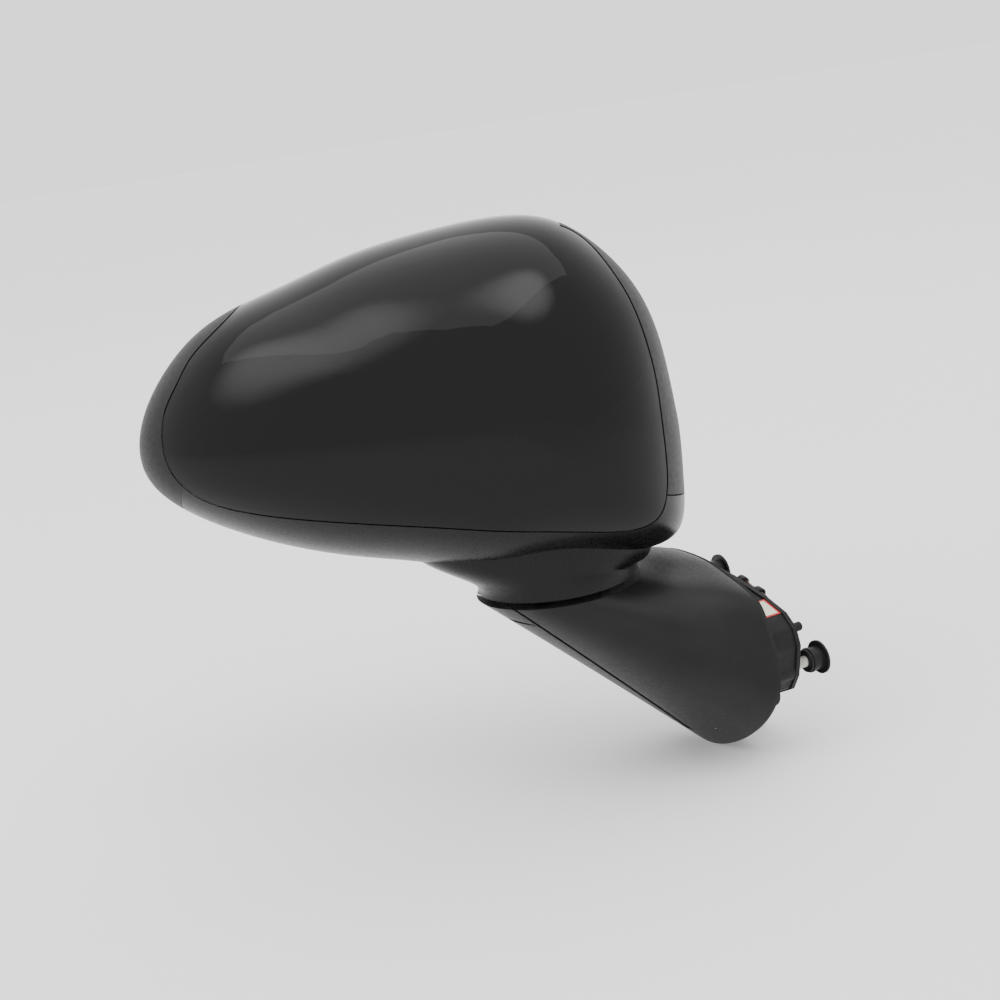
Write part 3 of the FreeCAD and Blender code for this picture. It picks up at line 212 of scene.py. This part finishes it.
def silvered(name):
    """Silvered glass with a faintly uneven front face."""
    look = Look(name)
    shades = (0.80, 0.83, 0.85), (0.86, 0.88, 0.89)
    colour = look.blend(look.spread(look.noise(0.05, 2), 0, 1), *shades)
    look.set(Metallic=1.0)
    return look.finish(colour, look.spread(look.noise(0.01, 2), 0.012, 0.03), None)


def heater(name):
    """Heater film: copper-coloured tracks on a brown carrier."""
    look = Look(name)
    tracks = look.node("ShaderNodeTexWave", wave_type="BANDS", bands_direction="Z")
    tracks.inputs["Scale"].default_value = 60
    look.link(look.place, tracks.inputs["Vector"])
    line = look.spread(tracks.outputs["Fac"], 0, 1, 0.7, 0.8)
    colour = look.blend(line, (0.09, 0.05, 0.025), (0.55, 0.27, 0.12))
    return look.finish(colour, look.spread(look.noise(0.002), 0.35, 0.5), look.bump(line, 0.00004))


def label_film(name, node):
    """A blank cream sticker with a red border, as wide on each side."""
    look = Look(name)
    low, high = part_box(node)
    parts = look.node("ShaderNodeSeparateXYZ")
    look.link(look.place, parts.inputs["Vector"])
    nearest = None
    for axis in (0, 1):
        for edge, sign in ((low[axis], 1), (high[axis], -1)):
            away = look.node("ShaderNodeMath", operation="MULTIPLY_ADD")
            away.inputs[1].default_value = sign
            away.inputs[2].default_value = -sign * edge
            look.link(parts.outputs[axis], away.inputs[0])
            if nearest is None:
                nearest = away.outputs[0]
                continue
            least = look.node("ShaderNodeMath", operation="MINIMUM")
            look.link(nearest, least.inputs[0])
            look.link(away.outputs[0], least.inputs[1])
            nearest = least.outputs[0]
    paper = look.blend(look.spread(look.noise(0.004, 3), 0, 1), (0.62, 0.58, 0.47), (0.72, 0.68, 0.57))
    border = look.spread(nearest, 1, 0, 0.0009, 0.00105)
    colour = look.blend(border, paper, (0.42, 0.025, 0.02))
    return look.finish(colour, look.spread(look.noise(0.001), 0.35, 0.45), look.soft_edges(0.0001))


def sheath(name, colour):
    """The lead's sheath: extruded, faintly ribbed and a little scuffed."""
    look = Look(name)
    ribs = look.noise(0.0008, 2, (0.3, 1, 1))
    colour = look.blend(look.spread(look.noise(0.004, 3), 0, 1), shade(colour, 0.6), shade(colour, 1.4))
    return look.finish(colour, look.spread(ribs, 0.38, 0.52), look.bump(ribs, 0.00006))


GRAIN = 0.00055
SMOOTH_GRAIN = 0.0004
LOOKS = {
    "lacquer": lacquered("gloss_lacquer", (0.0022, 0.0022, 0.0027)),
    "satin": moulded("satin_cover", (0.0036, 0.0036, 0.0039), 0.3, SMOOTH_GRAIN, 0.00001),
    "grained": moulded("grained_cover", (0.0062, 0.0062, 0.0065), 0.46, GRAIN, 0.00005),
    "arm": moulded("arm_cover", (0.0066, 0.0067, 0.0070), 0.4, GRAIN, 0.00004),
    "casting": cast("coated_casting", (0.0062, 0.0062, 0.0065)),
    "rubber": moulded("gasket_rubber", (0.012, 0.012, 0.012), 0.72, 0.0007, 0.00004),
    "cap": moulded("cap_plastic", (0.010, 0.010, 0.011), 0.4, SMOOTH_GRAIN, 0.00001),
    "zinc": metal("zinc_plate", (0.60, 0.59, 0.55), 0.32),
    "ground": metal("ground_steel", (0.52, 0.52, 0.53), 0.28, (1, 1, 6)),
    "spring": metal("spring_wire", (0.30, 0.29, 0.28), 0.36),
    "can": metal("motor_can", (0.58, 0.58, 0.59), 0.3, (6, 6, 1)),
    "brass": metal("worm_brass", (0.66, 0.47, 0.20), 0.3),
    "frame": moulded("frame_plastic", (0.030, 0.030, 0.032), 0.55, 0.0008, 0.00004),
    "box": moulded("adjuster_plastic", (0.020, 0.020, 0.022), 0.5, 0.0007, 0.00003),
    "natural": moulded("natural_plastic", (0.62, 0.58, 0.50), 0.42, 0.0006, 0.00001, vary=0.06),
    "glass": silvered("silvered_glass"),
    "heater": heater("heater_film"),
    "lead": sheath("lead_sheath", (0.050, 0.010, 0.009)),
    "dark lead": sheath("dark_lead_sheath", (0.012, 0.006, 0.006)),
    "label": label_film("label_film", "foot_label"),
}
NODE_LOOKS = {
    "lacquer": ["painted_cap"],
    "satin": ["lower_cover"],
    "grained": ["rear_housing"],
    "arm": ["foot_cover", "foot_undercover"],
    "casting": ["foot_bracket"],
    "rubber": ["door_gasket", "cable_grommet"],
    "cap": ["stud_cap_front", "stud_cap_rear", "stud_cap_low", "lead_clips", "wiring_plug"],
    "zinc": ["housing_screws", "foot_screws", "adjuster_screws", "door_studs"],
    "ground": [
        "pivot_post", "detent_ring_lower", "detent_ring_upper", "pivot_washer", "spring_retainer",
    ],
    "spring": ["pivot_spring"],
    "can": ["tilt_motor", "pan_motor"],
    "brass": ["tilt_worm", "pan_worm"],
    "frame": ["head_frame", "glass_carrier"],
    "box": ["adjuster_base", "adjuster_cover"],
    "natural": ["pivot_bush", "swivel_ring", "tilt_plunger", "pan_plunger", "tilt_wheel", "pan_wheel"],
    "glass": ["mirror_glass"],
    "heater": ["heater_pad"],
    "lead": ["harness_lead", "head_lead"],
    "label": ["foot_label"],
}
for look, names in NODE_LOOKS.items():
    for name in names:
        for place in frame["nodes"][name].material_slots:
            place.material = LOOKS[look]


# ---------------------------------------------------------------- threaded studs
def mount(name):
    return next(one for one in frame["record"]["mounts"] if one["name"] == name)


SHARP_ANGLE = math.radians(50)


def threaded_studs():
    """The three door studs: a plain root in the casting, a rolled thread, a narrower pilot."""
    root, crest, pilot = 4.0 * MM, 2.5 * MM, 2.0 * MM
    pitch, depth = 0.8 * MM, 0.42 * MM
    root_x, shank_x, step_x, end_x = 3.0 * MM, 15.0 * MM, 22.4 * MM, 28.6 * MM
    around, steps = 40, 74
    runout_share = 8
    chamfer = 0.5 * MM
    stations = [(root_x, root, 0), (shank_x - 0.1 * MM, root, 0)]
    for step in range(steps + 1):
        share = step / steps
        fade = min(1, runout_share * share, runout_share * (1 - share))
        stations.append((shank_x + (step_x - shank_x) * share, crest, fade))
    stations.append((step_x + 0.05 * MM, pilot, 0))
    stations.append((end_x - chamfer, pilot, 0))
    stations.append((end_x, pilot - chamfer, 0))
    mesh = bmesh.new()
    for stud in ("stud_front", "stud_rear", "stud_low"):
        _, y, z = mount(stud)["pos_m"]
        rings = []
        for x, radius, thread in stations:
            ring = []
            for index in range(around):
                turn = 2 * math.pi * index / around
                wave = abs(((x / pitch - index / around) % 1) * 2 - 1)
                reach = radius - depth * thread * (1 - wave)
                ring.append(mesh.verts.new((x, y + reach * math.cos(turn), z + reach * math.sin(turn))))
            rings.append(ring)
        for near, far in zip(rings, rings[1:]):
            for index in range(around):
                following = (index + 1) % around
                mesh.faces.new((near[index], far[index], far[following], near[following]))
        mesh.faces.new(rings[0])
        mesh.faces.new(reversed(rings[-1]))
    bmesh.ops.recalc_face_normals(mesh, faces=mesh.faces)
    data = bpy.data.meshes.new("threaded_studs")
    mesh.to_mesh(data)
    mesh.free()
    data.polygons.foreach_set("use_smooth", [True] * len(data.polygons))
    data.set_sharp_from_angle(angle=SHARP_ANGLE)
    piece = place_object("threaded_studs", data)
    data.materials.append(LOOKS["zinc"])
    return piece


studs = threaded_studs()
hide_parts("door_studs")
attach(studs, "foot")


# ---------------------------------------------------------------- harness bundle
# The corners of the harness's route, in millimetres: down the hollow post and the strut, out at the
# door side, over the two clips and back to the plug.
LEAD_STOPS = [
    (-66, 20, 79), (-66, 20, 56), (-65.5, 19.8, 33), (-54, 17, 24.5), (-34, 12.5, 14), (-14, 8, 8.5),
    (4, 6, 8), (23.5, 6, 8), (24.5, 12.5, 18), (17.4, 12.5, 27.2), (17.4, 1, 24.6), (17.4, -11, 21.4),
    (18.6, -15, 11), (19.5, -9, -2), (21, 4, -6), (21, 18, -6),
]
BEND_SHARE = 0.45
ARC_STEPS = 8
LINE_STEP = 1.2
STRANDS = 4
TWIST_LENGTH = 34


def lead_line():
    """The bundle's middle line: straight runs that large arcs join."""
    stops = [Vector(stop) for stop in LEAD_STOPS]
    line = [stops[0]]
    for before, corner, after in zip(stops, stops[1:], stops[2:]):
        run_in, run_out = corner - before, after - corner
        half_turn = run_in.angle(run_out) / 2
        tangent = BEND_SHARE * min(run_in.length, run_out.length)
        run_in.normalize()
        run_out.normalize()
        start, stop = corner - run_in * tangent, corner + run_out * tangent
        away = (run_out - run_in).normalized()
        centre = corner + away * (tangent / math.tan(half_turn) / math.cos(half_turn))
        first, last, bend = start - centre, stop - centre, (start - centre).length
        for step in range(ARC_STEPS + 1):
            line.append(centre + first.slerp(last, step / ARC_STEPS) * bend)
    line.append(stops[-1])
    fine = [line[0]]
    for near, far in zip(line, line[1:]):
        parts = max(1, math.ceil((far - near).length / LINE_STEP))
        fine += [near.lerp(far, (part + 1) / parts) for part in range(parts)]
    return fine


def lead_bundle():
    """Four thin leads laid together with a slow twist, as thick over all as the plain lead."""
    offset, thick, twist, around = 0.88, 0.64, 2 * math.pi / TWIST_LENGTH, 10
    line = lead_line()
    mesh = bmesh.new()
    for strand in range(STRANDS):
        side = Vector((1, 0, 0))
        along = 0
        rings = []
        for index, middle in enumerate(line):
            way = (line[min(index + 1, len(line) - 1)] - line[max(index - 1, 0)]).normalized()
            along += (middle - line[max(index - 1, 0)]).length
            side = (side - way * side.dot(way)).normalized()
            other = way.cross(side)
            turn = strand * 2 * math.pi / STRANDS + along * twist
            heart = middle + (side * math.cos(turn) + other * math.sin(turn)) * offset
            ring = []
            for corner in range(around):
                angle = 2 * math.pi * corner / around
                rim = heart + (side * math.cos(angle) + other * math.sin(angle)) * thick
                ring.append(mesh.verts.new(rim * MM))
            rings.append(ring)
        made = []
        for near, far in zip(rings, rings[1:]):
            for corner in range(around):
                beside = (corner + 1) % around
                made.append(mesh.faces.new((near[corner], near[beside], far[beside], far[corner])))
        made.append(mesh.faces.new(reversed(rings[0])))
        made.append(mesh.faces.new(rings[-1]))
        for face in made:
            face.material_index = strand % 2
            face.smooth = True
    bmesh.ops.recalc_face_normals(mesh, faces=mesh.faces)
    data = bpy.data.meshes.new("harness_bundle")
    mesh.to_mesh(data)
    mesh.free()
    piece = place_object("harness_bundle", data)
    data.materials.append(LOOKS["lead"])
    data.materials.append(LOOKS["dark lead"])
    return piece


bundle = lead_bundle()
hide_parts("harness_lead")
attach(bundle, "foot")


# ---------------------------------------------------------------- floor, light and camera
TARGET = Vector((-71.6, 53.4, 78.6)) * MM
AZIMUTH, ELEVATION, ROLL = math.radians(-25), math.radians(13), math.radians(9)
CAMERA_DISTANCE = 0.733
CAMERA_LENS, CAMERA_SENSOR = 60, 36
FLOOR_HALF_SIZE = 40.0
FLOOR_GAP = 0.001
ROOM_LIGHT = 1.6
# Soft lights of the room: azimuth and elevation, radius of the core and of the fade, in degrees, power.
SOFT_LIGHTS = (
    (-75, 48, 4, 26, 4.2),
    (5, 58, 3, 22, 4.8),
)


def camera_axes():
    """The camera's right, up and looking directions."""
    ahead = Vector((
        -math.sin(AZIMUTH) * math.cos(ELEVATION), math.cos(AZIMUTH) * math.cos(ELEVATION),
        -math.sin(ELEVATION),
    ))
    level = Vector((math.cos(AZIMUTH), math.sin(AZIMUTH), 0))
    upright = level.cross(ahead)
    right = level * math.cos(ROLL) - upright * math.sin(ROLL)
    up = level * math.sin(ROLL) + upright * math.cos(ROLL)
    return right, up, ahead


def camera():
    """The camera, at the angle that AZIMUTH, ELEVATION and ROLL give."""
    right, up, ahead = camera_axes()
    data = bpy.data.cameras.new("camera")
    data.lens, data.sensor_width = CAMERA_LENS, CAMERA_SENSOR
    made = place_object("camera", data)
    turn = Matrix((right, up, -ahead)).transposed().to_4x4()
    made.matrix_world = Matrix.Translation(TARGET - ahead * CAMERA_DISTANCE) @ turn
    bpy.context.scene.camera = made


def softbox(name, place, size, power):
    """A rectangular soft light at a place, turned to the object."""
    data = bpy.data.lights.new(name, "AREA")
    data.shape, data.size, data.size_y, data.energy = "RECTANGLE", size[0], size[1], power
    made = place_object(name, data)
    made.location = place
    made.rotation_euler = (TARGET - Vector(place)).to_track_quat("-Z", "Y").to_euler()


def pale_floor():
    """A plain pale floor just under the object."""
    low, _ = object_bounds()
    size = FLOOR_HALF_SIZE
    data = bpy.data.meshes.new("floor")
    level = low.z - FLOOR_GAP
    corners = [(-size, -size, level), (size, -size, level), (size, size, level), (-size, size, level)]
    data.from_pydata(corners, [], [(0, 1, 2, 3)])
    made = place_object("floor", data)
    look = Look("floor")
    shades = (0.745, 0.745, 0.745), (0.755, 0.755, 0.755)
    colour = look.blend(look.spread(look.noise(0.4), 0, 1), *shades)
    data.materials.append(look.finish(colour, look.spread(look.noise(0.1), 0.8, 0.9), None))


def soft_world():
    """A white room with two soft bright places high up, which give the lacquer its highlights."""
    world = bpy.data.worlds.new("room")
    bpy.context.scene.world = world
    world.use_nodes = True
    tree = world.node_tree
    place = tree.nodes.new("ShaderNodeTexCoord")
    light = None
    for azimuth, elevation, inner, outer, power in SOFT_LIGHTS:
        azimuth, elevation = math.radians(azimuth), math.radians(elevation)
        flat = math.cos(elevation)
        near = tree.nodes.new("ShaderNodeVectorMath")
        near.operation = "DOT_PRODUCT"
        aim = (math.sin(azimuth) * flat, -math.cos(azimuth) * flat, math.sin(elevation))
        near.inputs[1].default_value = aim
        tree.links.new(place.outputs["Generated"], near.inputs[0])
        fade = tree.nodes.new("ShaderNodeMapRange")
        fade.interpolation_type = "SMOOTHSTEP"
        fade.inputs["From Min"].default_value = math.cos(math.radians(outer))
        fade.inputs["From Max"].default_value = math.cos(math.radians(inner))
        fade.inputs["To Max"].default_value = power
        tree.links.new(near.outputs["Value"], fade.inputs["Value"])
        total = tree.nodes.new("ShaderNodeMath")
        total.inputs[1].default_value = ROOM_LIGHT
        tree.links.new(fade.outputs["Result"], total.inputs[0])
        if light:
            tree.links.new(light, total.inputs[1])
        light = total.outputs[0]
    tree.links.new(light, tree.nodes["Background"].inputs["Strength"])
    tree.nodes["Background"].inputs["Color"].default_value = (1, 1, 1, 1)


camera()
pale_floor()
soft_world()
softbox("overhead", (-0.2, 0.0, 2.2), (3.0, 3.0), 36)
